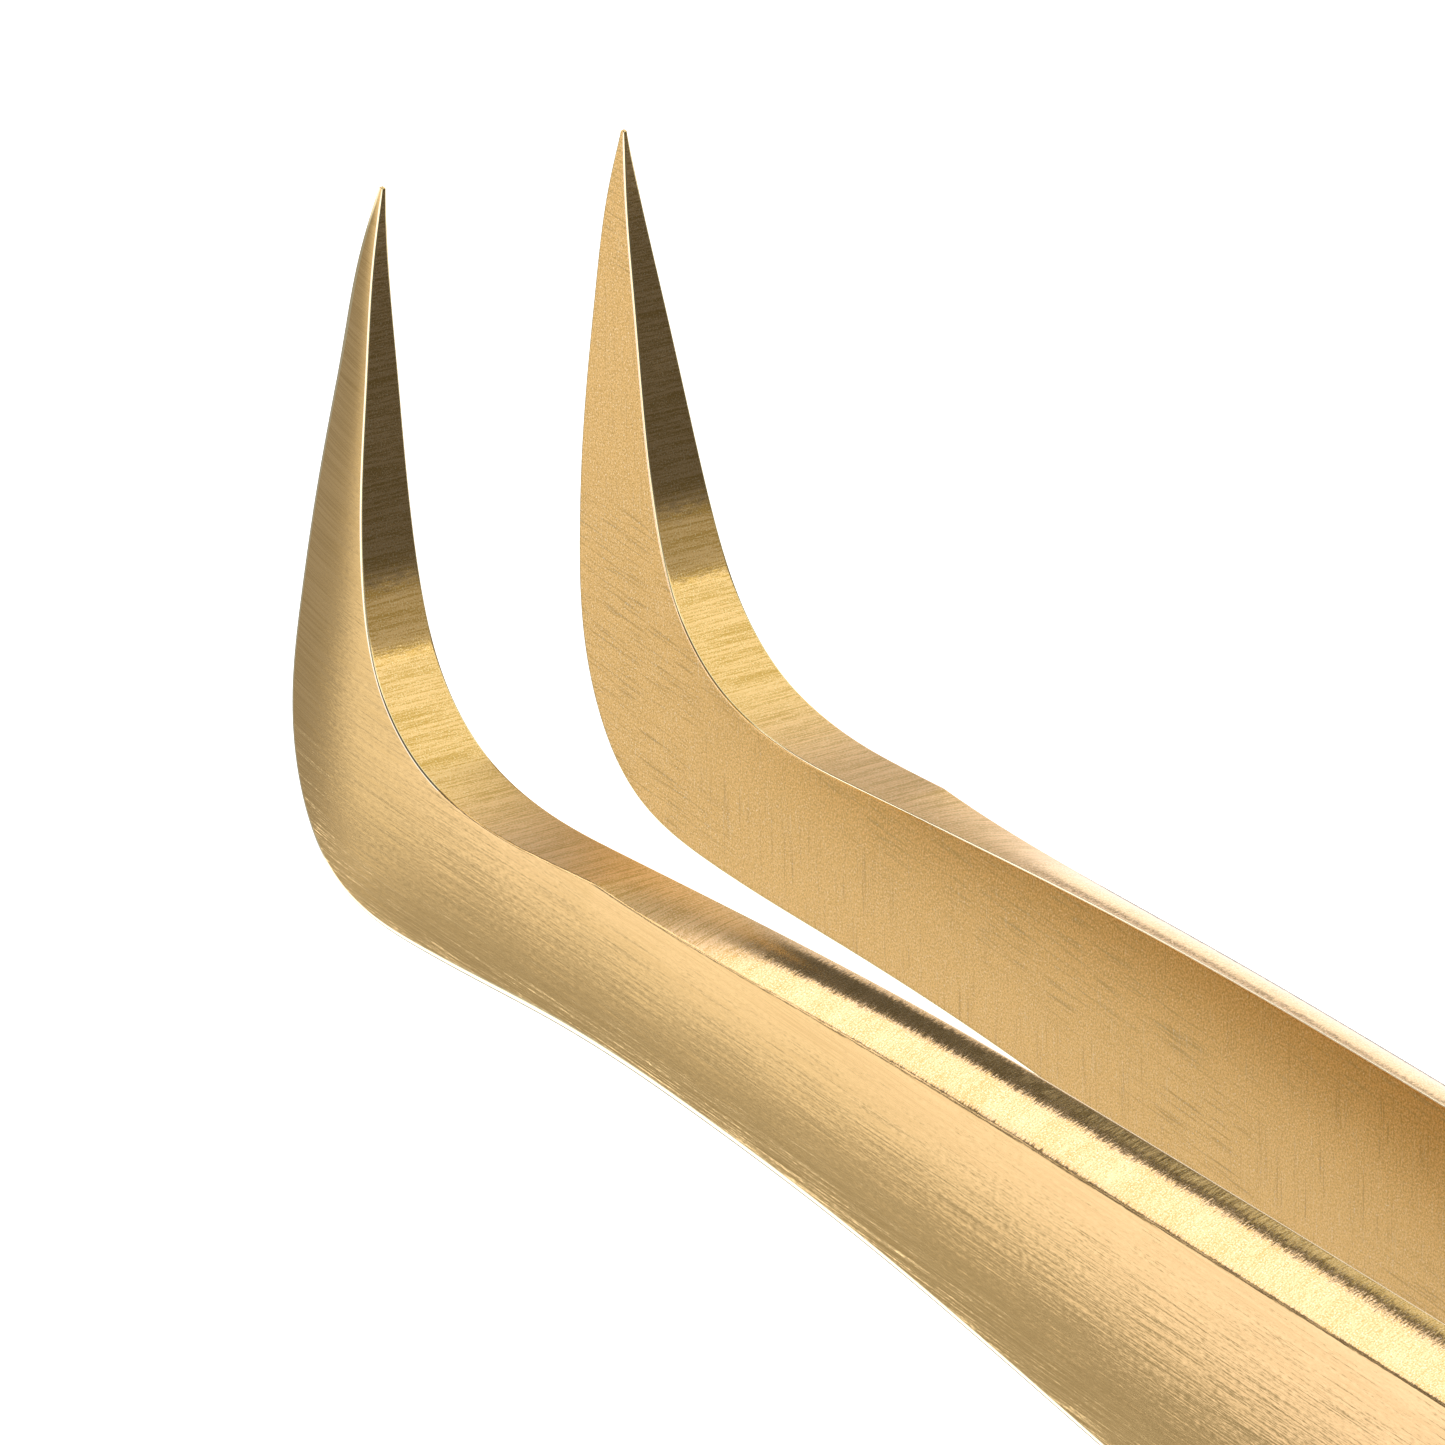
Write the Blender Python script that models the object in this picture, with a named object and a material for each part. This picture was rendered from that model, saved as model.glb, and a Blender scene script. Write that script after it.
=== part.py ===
"""Stamp tongs with bent points: two sprung steel arms welded to a filler at the heel.

+X runs from the points to the heel, +Z is the way the bent points stand, and Y is the way the arms
are squeezed. The origin is midway along the tongs, on the level they stand on. Sizes are in
millimetres; BLENDER_UNIT turns them to metres where meshes are made.
"""

import math

import bmesh
import bpy
import numpy as np
from mathutils import Matrix

BLENDER_UNIT = 0.001

# Driving dimensions of the whole tool
LENGTH = 125.0
FLEX_X = 110.0          # where the arms bend as leaf springs, just in front of the weld
TIP_HALF_GAP = 3.03     # inner face to middle plane at the front
HEEL_HALF_GAP = 1.2     # the same at the heel
BOW_POWER = 2.5         # how early the arms come parallel on their way from the heel
CLEARANCE = 0.3         # between neighbouring solids

# The arm's stations, from the point to the heel. x is measured from the toe of the boot, z from the
# level that the tongs stand on: the edge inside the bend, the edge outside it, the thickness at
# each of those two edges, the crown of the outer face between them, and how far the outer face's
# lower corner reaches past the inner face's.
STATIONS = (
    # inside x, z    outside x, z    thickness     crown  flare
    (1.02, 18.10,    0.90, 18.10,     0.10, 0.10,   0.00, 0.00),
    (1.22, 16.60,    0.52, 16.60,     0.40, 0.32,   0.01, 0.00),
    (1.72, 14.20,    0.22, 14.10,     0.82, 0.60,   0.03, 0.01),
    (2.30, 11.60,    0.02, 11.00,     1.24, 0.94,   0.05, 0.04),
    (2.95, 9.50,     0.06, 8.40,      1.50, 1.18,   0.06, 0.20),
    (3.90, 7.90,     0.55, 5.60,      1.62, 1.34,   0.09, 0.60),
    (5.30, 6.92,     2.10, 3.45,      1.64, 1.42,   0.12, 0.74),
    (7.40, 6.50,     5.20, 2.74,      1.60, 1.38,   0.13, 0.42),
    (10.20, 6.64,    9.60, 2.82,      1.50, 1.32,   0.14, 0.07),
    (15.00, 7.14,    15.00, 2.90,     1.42, 1.30,   0.17, 0.04),
    (21.00, 7.66,    21.00, 2.63,     1.40, 1.30,   0.20, 0.05),
    (28.00, 7.98,    28.00, 1.87,     1.40, 1.30,   0.22, 0.06),
    (38.00, 8.25,    38.00, 0.72,     1.40, 1.30,   0.24, 0.05),
    (50.00, 8.45,    50.00, 0.00,     1.40, 1.30,   0.24, 0.00),
    (61.00, 8.45,    61.00, -0.10,    1.40, 1.30,   0.22, 0.00),
    (72.00, 8.30,    72.00, 0.00,     1.40, 1.30,   0.18, 0.00),
    (90.00, 7.75,    90.00, 0.60,     1.36, 1.30,   0.10, 0.00),
    (110.00, 7.05,   110.00, 1.42,    1.30, 1.30,   0.00, 0.00),
    (125.00, 6.70,   125.00, 1.90,    1.30, 1.30,   0.00, 0.00),
)

# The outer corner along the upper edge is ground down towards the grip, and less so at the heel
RIDGE_START_X = 11.5
RIDGE_RISE = 4.5
RIDGE_DROP = 0.62
RIDGE_FADE_X = 70.0
RIDGE_HEEL_SHARE = 0.4

# The outer corner along the lower edge is broken by a narrow chamfer
CHAMFER_REACH = 0.26
CHAMFER_DEPTH = 0.19

HEEL_END_RADIUS = 2.2

ARM_RINGS = 58
STRAIGHT_RINGS = 5
ROUND_RINGS = 8

GOLD = (0.83, 0.60, 0.25, 1.0)
WELD_STEEL = (0.72, 0.55, 0.28, 1.0)


def clear_scene():
    for obj in list(bpy.data.objects):
        bpy.data.objects.remove(obj, do_unlink=True)


def new_collection(name):
    collection = bpy.data.collections.new(name)
    bpy.context.scene.collection.children.link(collection)
    return collection


def metal(name, colour, roughness):
    material = bpy.data.materials.new(name)
    material.use_nodes = True
    shader = material.node_tree.nodes["Principled BSDF"]
    shader.inputs["Base Color"].default_value = colour
    shader.inputs["Metallic"].default_value = 1.0
    shader.inputs["Roughness"].default_value = roughness
    return material


def spline(knots, values, at):
    """A natural cubic spline through values at knots, read at the places in at."""
    steps = np.diff(knots)
    slopes = np.diff(values) / steps
    count = len(knots)
    system = np.eye(count)
    right = np.zeros(count)
    for i in range(1, count - 1):
        system[i, i - 1 : i + 2] = steps[i - 1], 2 * (steps[i - 1] + steps[i]), steps[i]
        right[i] = 6 * (slopes[i] - slopes[i - 1])
    bend = np.linalg.solve(system, right)
    span = np.clip(np.searchsorted(knots, at, side="right") - 1, 0, count - 2)
    step, low, high = steps[span], at - knots[span], knots[span + 1] - at
    straight = (values[span] * high + values[span + 1] * low) / step
    curved = bend[span] * (high**3 / step - step * high) + bend[span + 1] * (low**3 / step - step * low)
    return straight + curved / 6


class Arm:
    """The arm's shape, as columns read from the stations at any distance along its middle line."""

    def __init__(self):
        table = np.array(STATIONS)
        middle = (table[:, 0:2] + table[:, 2:4]) / 2
        self.knots = np.concatenate([[0], np.cumsum(np.linalg.norm(np.diff(middle, axis=0), axis=1))])
        self.table = table

    def read(self, along):
        columns = [spline(self.knots, column, along) for column in self.table.T]
        inside_x, inside_z, outside_x, outside_z, thick_in, thick_out, crown, flare = columns
        outside_z = np.maximum(outside_z, 0.0)
        crown, flare = np.maximum(crown, 0.0), np.maximum(flare, 0.0)
        return inside_x, inside_z, outside_x, outside_z, thick_in, thick_out, crown, flare

    def along_at(self, x):
        """The distance along the body at which the upper edge reaches x."""
        body = np.linspace(self.knots[8], self.knots[-1], 800)
        return float(np.interp(x, self.read(body)[0], body))


def smooth_step(value):
    value = np.clip(value, 0.0, 1.0)
    return value * value * (3 - 2 * value)


def half_gap(x):
    """The inner face's distance from the middle plane."""
    way = np.clip((FLEX_X - x) / FLEX_X, 0.0, 1.0)
    bow = 1 - (1 - way) ** BOW_POWER
    return HEEL_HALF_GAP + (TIP_HALF_GAP - HEEL_HALF_GAP) * bow


def ridge_drop(x):
    """How far below the upper edge the outer corner lies."""
    fade = 1 - (1 - RIDGE_HEEL_SHARE) * smooth_step((x - RIDGE_FADE_X) / (FLEX_X - RIDGE_FADE_X))
    return RIDGE_DROP * fade * (1 - math.exp(-max(x - RIDGE_START_X, 0.0) / RIDGE_RISE))


def section(inside, outside, thick_in, thick_out, crown, flare):
    """One ring of points round the arm: (x, z, depth from the inner face)."""
    across = outside - inside
    width = np.linalg.norm(across)
    across = across / width
    drop = min(ridge_drop(inside[0]), 0.15 * width)
    corner = width + flare
    reach_in = corner - min(CHAMFER_REACH, 0.2 * width)
    depth_in = thick_out - min(CHAMFER_DEPTH, 0.3 * thick_out)
    ring = [(0.0, 0.0), (0.16 * drop, 0.5 * thick_in), (drop, thick_in)]
    for share in (0.25, 0.5, 0.75):
        depth = thick_in * (1 - share) + thick_out * share + 4 * crown * share * (1 - share)
        ring.append((drop + (reach_in - drop) * share, depth))
    ring += [(reach_in, thick_out), (corner, depth_in), (width, 0.0)]
    return [(*(inside + across * reach), depth) for reach, depth in ring]


def heel_rounding(x):
    """How much the heel's end takes off each edge at x."""
    over = np.clip(x - (LENGTH - HEEL_END_RADIUS), 0.0, HEEL_END_RADIUS)
    return HEEL_END_RADIUS - math.sqrt(HEEL_END_RADIUS**2 - over**2)


def rings_at(arm, places):
    """One ring of points at each distance along the arm."""
    columns = arm.read(places)
    rings = []
    for inside_x, inside_z, outside_x, outside_z, thick_in, thick_out, crown, flare in zip(*columns):
        trim = heel_rounding(inside_x)
        inside = np.array([inside_x, inside_z - trim])
        outside = np.array([outside_x, outside_z + trim])
        rings.append(section(inside, outside, thick_in, thick_out, crown, flare))
    return rings


def world_point(x, z, depth, side):
    return (
        (x - LENGTH / 2) * BLENDER_UNIT,
        side * (half_gap(x) + depth) * BLENDER_UNIT,
        z * BLENDER_UNIT,
    )


def loft(name, rings, side):
    """A closed solid through the rings, on the side of the middle plane that side gives."""
    mesh = bpy.data.meshes.new(name)
    shape = bmesh.new()
    rows = [[shape.verts.new(world_point(*point, side)) for point in ring] for ring in rings]
    for row, following in zip(rows, rows[1:]):
        for i in range(len(row)):
            j = (i + 1) % len(row)
            shape.faces.new((row[i], row[j], following[j], following[i]))
    shape.faces.new(rows[0])
    shape.faces.new(rows[-1])
    bmesh.ops.recalc_face_normals(shape, faces=shape.faces)
    shape.to_mesh(mesh)
    shape.free()
    mesh.shade_smooth()
    mesh.set_sharp_from_angle(angle=math.radians(25))
    return bpy.data.objects.new(name, mesh)


def set_origin(obj, x, y, z):
    """Puts the object's origin at a place in millimetres without moving its shape."""
    place = (np.array((x - LENGTH / 2, y, z)) * BLENDER_UNIT).tolist()
    obj.data.transform(Matrix.Translation(place).inverted())
    obj.location = place


def blade(arm, name, side):
    """The moving arm, with its origin on the line it flexes about."""
    share = np.linspace(0.0, 1.0, ARM_RINGS)
    closer_at_tip = 0.35 * share + 0.65 * share**2
    obj = loft(name, rings_at(arm, arm.along_at(FLEX_X - CLEARANCE / 2) * closer_at_tip), side)
    set_origin(obj, FLEX_X, side * (HEEL_HALF_GAP + STATIONS[-2][4] / 2), 0.0)
    return obj


def heel_leaf(arm, name, side):
    """The arm's welded end, behind the line where it flexes."""
    straight = np.linspace(FLEX_X + CLEARANCE / 2, LENGTH - HEEL_END_RADIUS, STRAIGHT_RINGS)
    turn = np.linspace(0.0, math.pi / 2, ROUND_RINGS)[1:]
    rounded = LENGTH - HEEL_END_RADIUS + HEEL_END_RADIUS * np.sin(turn)
    places = [arm.along_at(x) for x in np.concatenate([straight, rounded])]
    return loft(name, rings_at(arm, np.array(places)), side)


def heel_filler(arm, name):
    """The flat piece between the two heel leaves: their outline, a little inside it."""
    inset = 0.15
    front, back = FLEX_X + 0.6, LENGTH - inset
    places = np.linspace(arm.along_at(front), arm.along_at(back), 12)
    columns = arm.read(places)
    upper = [(x, z - inset - heel_rounding(x)) for x, z in zip(columns[0], columns[1])]
    lower = [(x, z + inset + heel_rounding(x)) for x, z in zip(columns[2], columns[3])]
    outline = upper + lower[::-1]
    curve = bpy.data.curves.new(name, "CURVE")
    curve.dimensions = "2D"
    curve.fill_mode = "BOTH"
    curve.extrude = (HEEL_HALF_GAP - CLEARANCE) * BLENDER_UNIT
    line = curve.splines.new("POLY")
    line.points.add(len(outline) - 1)
    for point, (x, z) in zip(line.points, outline):
        point.co = ((x - LENGTH / 2) * BLENDER_UNIT, z * BLENDER_UNIT, 0.0, 1.0)
    line.use_cyclic_u = True
    obj = bpy.data.objects.new(name, curve)
    obj.rotation_euler = (math.pi / 2, 0.0, 0.0)
    return obj


def main():
    clear_scene()
    parts = new_collection("stamp_tongs")
    satin_gold = metal("satin gold plate", GOLD, 0.3)
    weld_gold = metal("heel filler plate", WELD_STEEL, 0.4)
    arm = Arm()
    pieces = [
        (blade(arm, "left_arm", -1), satin_gold),
        (blade(arm, "right_arm", 1), satin_gold.copy()),
        (heel_leaf(arm, "left_heel_leaf", -1), satin_gold.copy()),
        (heel_leaf(arm, "right_heel_leaf", 1), satin_gold.copy()),
        (heel_filler(arm, "heel_filler"), weld_gold),
    ]
    for obj, material in pieces:
        obj.data.materials.append(material)
        parts.objects.link(obj)


main()
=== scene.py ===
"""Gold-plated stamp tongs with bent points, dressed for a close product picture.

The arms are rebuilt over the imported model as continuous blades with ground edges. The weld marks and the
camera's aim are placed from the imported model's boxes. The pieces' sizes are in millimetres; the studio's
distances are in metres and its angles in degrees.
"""

import logging
import math
from dataclasses import dataclass, field
from enum import Enum
from functools import partial
from typing import Any, Sequence

import bmesh
import bpy
import numpy as np
from mathutils import Matrix, Vector


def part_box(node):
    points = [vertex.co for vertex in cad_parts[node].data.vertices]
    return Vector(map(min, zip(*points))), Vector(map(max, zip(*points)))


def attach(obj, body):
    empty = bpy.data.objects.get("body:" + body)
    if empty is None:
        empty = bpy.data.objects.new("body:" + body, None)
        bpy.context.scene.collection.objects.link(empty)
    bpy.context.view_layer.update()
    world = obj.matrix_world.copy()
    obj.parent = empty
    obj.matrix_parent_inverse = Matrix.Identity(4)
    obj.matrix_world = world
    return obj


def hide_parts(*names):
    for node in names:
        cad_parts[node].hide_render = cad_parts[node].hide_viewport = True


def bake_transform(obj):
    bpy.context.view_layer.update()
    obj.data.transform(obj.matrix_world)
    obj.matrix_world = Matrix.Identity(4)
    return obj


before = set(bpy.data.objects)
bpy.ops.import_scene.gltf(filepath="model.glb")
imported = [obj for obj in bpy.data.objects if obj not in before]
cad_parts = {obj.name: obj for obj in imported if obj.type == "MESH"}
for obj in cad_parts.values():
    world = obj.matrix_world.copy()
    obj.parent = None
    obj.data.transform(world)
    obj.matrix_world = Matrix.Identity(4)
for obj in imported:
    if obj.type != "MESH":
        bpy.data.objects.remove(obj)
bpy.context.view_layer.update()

MM = 0.001
# The camera's aim: how far behind the left arm's foremost place and how high, in metres.
AIM_BACK = 0.009774
AIM_HEIGHT = 0.0086
LOG = logging.getLogger("stamp tongs")


# ---------------------------------------------------------------------------------------------
# Nodes and objects
# ---------------------------------------------------------------------------------------------


def feed(tree: bpy.types.NodeTree, socket: bpy.types.NodeSocket, value: Any) -> None:
    """Gives a socket a link or a value.

    Args:
        tree: the tree that the socket is in.
        socket: the socket to feed.
        value: another node's socket, a signal, or a plain value.
    """
    if isinstance(value, Signal):
        value = value.socket
    if isinstance(value, bpy.types.NodeSocket):
        tree.links.new(value, socket)
    else:
        socket.default_value = value


def add_node(
    tree: bpy.types.NodeTree, kind: str, settings: dict[str, Any], inputs: dict[Any, Any]
) -> bpy.types.Node:
    """Adds a node of any type to any tree.

    Args:
        tree: the tree that takes it.
        kind: the node's type name.
        settings: its properties, which are set before its sockets.
        inputs: values or links for its sockets, by name or place.

    Returns:
        The node.
    """
    made = tree.nodes.new(kind)
    for key, value in settings.items():
        setattr(made, key, value)
    for key, value in inputs.items():
        feed(tree, made.inputs[key], value)
    return made


def put(name: str, data: bpy.types.ID) -> bpy.types.Object:
    """Makes an object and links it to the scene.

    Args:
        name: the object's name.
        data: its mesh, lamp or camera.

    Returns:
        The object.
    """
    obj = bpy.data.objects.new(name, data)
    bpy.context.scene.collection.objects.link(obj)
    return obj


# ---------------------------------------------------------------------------------------------
# Shader expressions
# ---------------------------------------------------------------------------------------------


class Signal:
    """A number in a material's node tree, written as a Python expression."""

    def __init__(self, shade: "Shade", socket: bpy.types.NodeSocket) -> None:
        """Wraps an output socket of a material's tree."""
        self.shade = shade
        self.socket = socket

    def _math(self, operation: str, *values: Any) -> "Signal":
        """Adds one Math node.

        Args:
            operation: the Math node's operation.
            values: its inputs, as numbers or signals.

        Returns:
            The node's result.
        """
        inputs = {i: value for i, value in enumerate(values)}
        return self.shade.signal("ShaderNodeMath", {"operation": operation}, inputs)

    def __add__(self, other: Any) -> "Signal":
        """The sum of two signals."""
        return self._math("ADD", self, other)

    def __sub__(self, other: Any) -> "Signal":
        """The difference of two signals."""
        return self._math("SUBTRACT", self, other)

    def __rsub__(self, other: Any) -> "Signal":
        """A number less this signal."""
        return self._math("SUBTRACT", other, self)

    def __mul__(self, other: Any) -> "Signal":
        """The product of two signals."""
        return self._math("MULTIPLY", self, other)

    __radd__ = __add__

    def between(self, low: float, high: float) -> "Signal":
        """Rises smoothly from 0 at low to 1 at high.

        Args:
            low: the value that gives 0.
            high: the value that gives 1.

        Returns:
            The eased share.
        """
        settings = {"interpolation_type": "SMOOTHSTEP"}
        inputs = {"Value": self, "From Min": low, "From Max": high}
        return self.shade.signal("ShaderNodeMapRange", settings, inputs)


class Shade:
    """One material under construction: its node tree and the Principled shader at its end."""

    def __init__(self, name: str) -> None:
        """Makes the material, which comes with its Principled shader.

        Args:
            name: the material's name.
        """
        self.material = bpy.data.materials.new(name)
        self.material.use_nodes = True
        self.tree = self.material.node_tree
        self.shader = self.tree.nodes["Principled BSDF"]

    def node(self, kind: str, settings: dict[str, Any], inputs: dict[Any, Any]) -> bpy.types.Node:
        """Adds a node to the material's tree."""
        return add_node(self.tree, kind, settings, inputs)

    def signal(self, kind: str, settings: dict[str, Any], inputs: dict[Any, Any]) -> Signal:
        """Adds a node and wraps its first output."""
        return Signal(self, self.node(kind, settings, inputs).outputs[0])

    def place(self, scale: Sequence[float], turn: Sequence[float] = (0, 0, 0)) -> Any:
        """Object coordinates, turned and stretched for a pattern.

        Args:
            scale: features per millimetre along each turned axis.
            turn: the turn about each axis, in degrees.

        Returns:
            The vector socket.
        """
        source = self.node("ShaderNodeTexCoord", {}, {}).outputs["Object"]
        turned = self.node(
            "ShaderNodeMapping",
            {"vector_type": "POINT"},
            {"Vector": source, "Rotation": [math.radians(a) for a in turn]},
        ).outputs["Vector"]
        return self.vector("MULTIPLY", turned, [s / MM for s in scale])

    def along(self, scale: Sequence[float]) -> Any:
        """The blade's own coordinates: millimetres along it and round its section.

        Args:
            scale: features per millimetre in each of the two directions.

        Returns:
            The vector socket.
        """
        source = self.node("ShaderNodeUVMap", {"uv_map": Blade.UV_NAME}, {}).outputs["UV"]
        return self.vector("MULTIPLY", source, [scale[0] * Blade.UV_UNIT, scale[1] * Blade.UV_UNIT, 1.0])

    def noise(self, vector: Any, detail: float = 2.0, roughness: float = 0.5) -> Signal:
        """A noise texture read at a vector.

        Args:
            vector: where to read it, one unit to a feature.
            detail: how many finer layers it has.
            roughness: how strong the finer layers are.

        Returns:
            The noise, about 0 to 1.
        """
        inputs = {"Vector": vector, "Scale": 1.0, "Detail": detail, "Roughness": roughness}
        return self.signal("ShaderNodeTexNoise", {"noise_dimensions": "3D"}, inputs)

    def mix(self, share: Any, low: Any, high: Any) -> Any:
        """Mixes two colours.

        Args:
            share: 0 gives low and 1 gives high.
            low: the first colour.
            high: the second colour.

        Returns:
            The colour socket.
        """
        return self.node("ShaderNodeMix", {"data_type": "RGBA"}, {0: share, 6: low, 7: high}).outputs[2]

    def vector(self, operation: str, *values: Any) -> Any:
        """Adds one Vector Math node and gives its vector."""
        inputs = {3 if operation == "SCALE" and i == 1 else i: value for i, value in enumerate(values)}
        return self.node("ShaderNodeVectorMath", {"operation": operation}, inputs).outputs[0]

    def tilted(self, normal: Any, about: Sequence[float], angle: Signal) -> Any:
        """Leans a normal over, as the side of a scratch does.

        Args:
            normal: the normal to start from, or None for the surface's own.
            about: the axis that it leans about.
            angle: how far, in radians.

        Returns:
            The normal socket.
        """
        if normal is None:
            normal = self.node("ShaderNodeNewGeometry", {}, {}).outputs["Normal"]
        sideways = self.vector("SCALE", self.vector("CROSS_PRODUCT", about, normal), angle)
        return self.vector("NORMALIZE", self.vector("ADD", normal, sideways))

    def finish(self, sockets: dict[str, Any]) -> bpy.types.Material:
        """Feeds the shader at the tree's end.

        Args:
            sockets: what each of its sockets takes, by name.

        Returns:
            The finished material.
        """
        for name, value in sockets.items():
            feed(self.tree, self.shader.inputs[name], value)
        return self.material


# ---------------------------------------------------------------------------------------------
# Finishes
# ---------------------------------------------------------------------------------------------

Colour = tuple[float, float, float, float]


class Surface(Enum):
    """The faces of a blade, each with a finish of its own."""

    INSIDE = 0
    EDGE = 1
    OUTSIDE = 2
    ARRIS = 3


@dataclass(frozen=True)
class Finish:
    """What every finish on the plated steel has; each kind below adds marks of its own."""

    name: str
    colour: Colour
    deep: Colour
    roughness: float

    def material(self) -> bpy.types.Material:
        """The finish as a material."""
        shade = Shade(self.name)
        return shade.finish({"Metallic": 1.0, **self.marks(shade)})

    def marks(self, shade: Shade) -> dict[str, Any]:
        """What the shader's sockets take, by name."""
        raise NotImplementedError


@dataclass(frozen=True)
class LongBrushed(Finish):
    """The outer faces: fine satin lines that run the length of the tongs."""

    line_width: float = 0.036
    line_length: float = 3.0
    lean: float = 0.62

    def marks(self, shade: Shade) -> dict[str, Any]:
        """Draws the brushing.

        Args:
            shade: the material that takes the nodes.

        Returns:
            What the shader's sockets take, by name.
        """
        across, along = 1 / self.line_width, 1 / self.line_length
        fine = shade.noise(shade.place((along, 0, across)), 2.0, 0.7)
        broad = shade.noise(shade.place((along / 3, 0, across / 5)), 2.0)
        stray = shade.noise(shade.place((0.5, 0, 14), (0, 7, 0)), 1.0).between(0.66, 0.74)
        cloud = shade.noise(shade.place((0.15, 0.3, 0.3)), 1.0)
        grit = shade.noise(shade.place((6, 0, across)), 1.0)
        shares = fine * 0.7 + broad * 0.3
        colour = shade.mix(shares.between(0.34, 0.60), self.deep, self.colour)
        lean = (fine - 0.5) * self.lean + (grit - 0.5) * (0.4 * self.lean) + stray * 0.03
        lean = lean + (broad - 0.5) * (0.15 * self.lean)
        rough = self.roughness + (fine - 0.5) * 0.10 + (cloud - 0.5) * 0.06
        normal = shade.tilted(None, (1, 0, 0), lean)
        return {"Base Color": colour, "Roughness": rough, "Normal": normal}


@dataclass(frozen=True)
class CrossGround(Finish):
    """The blades' edges: grinding marks that run from face to face."""

    mark_width: float = 0.045
    lean: float = 0.04
    stagger: float = 0.19
    neck_start: float = 12.0
    neck_end: float = 28.0
    neck_ease: float = 4.0
    neck_roughness: float = 0.26
    # the pale gold of the painted glints
    bright: Colour = (1.0, 0.88, 0.60, 1.0)

    def marks(self, shade: Shade) -> dict[str, Any]:
        """Draws the grinding marks and their streaks, with painted glints in the grit.

        Args:
            shade: the material that takes the nodes.

        Returns:
            What the shader's sockets take, by name.
        """
        each = 1 / self.mark_width
        fine = shade.noise(shade.along((each, 3.0)), 3.0, 0.65)
        teeth = shade.noise(shade.along((each, 4.5)), 2.0, 0.6)
        streaks = shade.noise(shade.along((1.6, 0.35)), 3.0, 0.6)
        grit = shade.noise(shade.along((each * 1.2, each * 1.2)), 2.0, 0.6)
        shares = fine * 0.35 + grit * 0.5 + streaks * 0.15
        reach = shade.signal("ShaderNodeSeparateXYZ", {}, {0: shade.along((1.0, 1.0))})
        forward = reach.between(self.neck_end, self.neck_end - self.neck_ease)
        neck = forward * reach.between(self.neck_start, self.neck_start + self.neck_ease)
        lines = shade.noise(shade.along((each * 0.7, 0.4)), 3.0, 0.7)
        shares = shares + (lines - 0.5) * forward * 0.7
        colour = shade.mix(shares.between(0.38, 0.57), self.deep, self.colour)
        # painted glints: the brightest grit specks are mixed towards the pale gold in place of sparkling
        # light
        colour = shade.mix(grit.between(0.58, 0.68) * 0.7, colour, self.bright)
        normal = shade.tilted(None, (0, 1, 0), (fine - 0.5) * (2 * self.lean))
        normal = shade.tilted(normal, (1, 0, 0), (teeth - 0.5) * self.stagger + (grit - 0.5) * 0.05)
        rough = self.roughness + neck * self.neck_roughness + (streaks - 0.5) * 0.06 + (fine - 0.5) * 0.06
        return {"Base Color": colour, "Roughness": rough, "Normal": normal}


@dataclass(frozen=True)
class Lapped(Finish):
    """The inner faces: a fine even grain, with faint scratches across it."""

    grain: float = 0.05
    lean: float = 0.5
    # the pale gold of the painted glints
    bright: Colour = (1.0, 0.86, 0.55, 1.0)

    def marks(self, shade: Shade) -> dict[str, Any]:
        """Draws the grain and the scratches, with painted glints among them.

        Args:
            shade: the material that takes the nodes.

        Returns:
            What the shader's sockets take, by name.
        """
        each = 1 / self.grain
        one = shade.noise(shade.place((each, 0, each)), 3.0, 0.8)
        two = shade.noise(shade.place((each * 1.3, 3, each * 1.3), (0, 30, 0)), 3.0, 0.8)
        upright = shade.noise(shade.place((14.0, 0, 0.5), (0, 7, 0)), 2.0, 0.7).between(0.55, 0.72)
        level = shade.noise(shade.place((0.5, 0, 16.0), (0, -2, 0)), 2.0, 0.7).between(0.5, 0.7)
        patch = shade.noise(shade.place((0.12, 0.2, 0.3)), 1.0)
        marks = upright * patch.between(0.6, 0.45) * 0.7 + level * patch.between(0.42, 0.6)
        # glints and sparkle are bright specks: in the colour they are painted glints, in the roughness a
        # real smoother polish
        glints = shade.noise(shade.place((24.0, 0, 0.9), (0, 7, 0)), 2.0, 0.7).between(0.58, 0.70)
        sparkle = (one * 0.6 + two * 0.6 + marks * 0.04).between(0.66, 0.74) + glints * 0.35
        shares = one * 0.7 + two * 0.4 - marks * 0.10
        colour = shade.mix(shares.between(0.48, 0.60), self.deep, self.colour)
        # painted glints
        colour = shade.mix(sparkle.between(0.0, 1.1), colour, self.bright)
        normal = shade.tilted(None, (1, 0, 0), (one - 0.5) * self.lean + marks * 0.06)
        normal = shade.tilted(normal, (0, 0, 1), (two - 0.5) * self.lean + upright * 0.06)
        rough = self.roughness - sparkle * 0.1 + (one - 0.5) * 0.2
        return {"Base Color": colour, "Roughness": rough, "Normal": normal}


@dataclass(frozen=True)
class SpotWeld(Finish):
    """The weld marks: a duller, slightly heat-browned patch."""

    def marks(self, shade: Shade) -> dict[str, Any]:
        """Mottles the patch's tint.

        Args:
            shade: the material that takes the nodes.

        Returns:
            What the shader's sockets take, by name.
        """
        mottle = shade.noise(shade.place((4.0, 4.0, 4.0)), 4.0, 0.6)
        colour = shade.mix(mottle.between(0.35, 0.65), self.deep, self.colour)
        rough = self.roughness + (mottle - 0.5) * 0.3
        return {"Base Color": colour, "Roughness": rough}


@dataclass(frozen=True)
class Burnished(Finish):
    """The broken arrises: narrow smooth rounds, a little uneven, in a paler gold that is painted highlight.
    """

    def marks(self, shade: Shade) -> dict[str, Any]:
        """Makes the polish a little uneven.

        Args:
            shade: the material that takes the nodes.

        Returns:
            What the shader's sockets take, by name.
        """
        nicks = shade.noise(shade.along((6.0, 2.0)), 2.0)
        rough = self.roughness + (nicks - 0.5) * 0.15
        # the pale colour is painted highlight; the uneven polish is real
        return {"Base Color": self.colour, "Roughness": rough}


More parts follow.
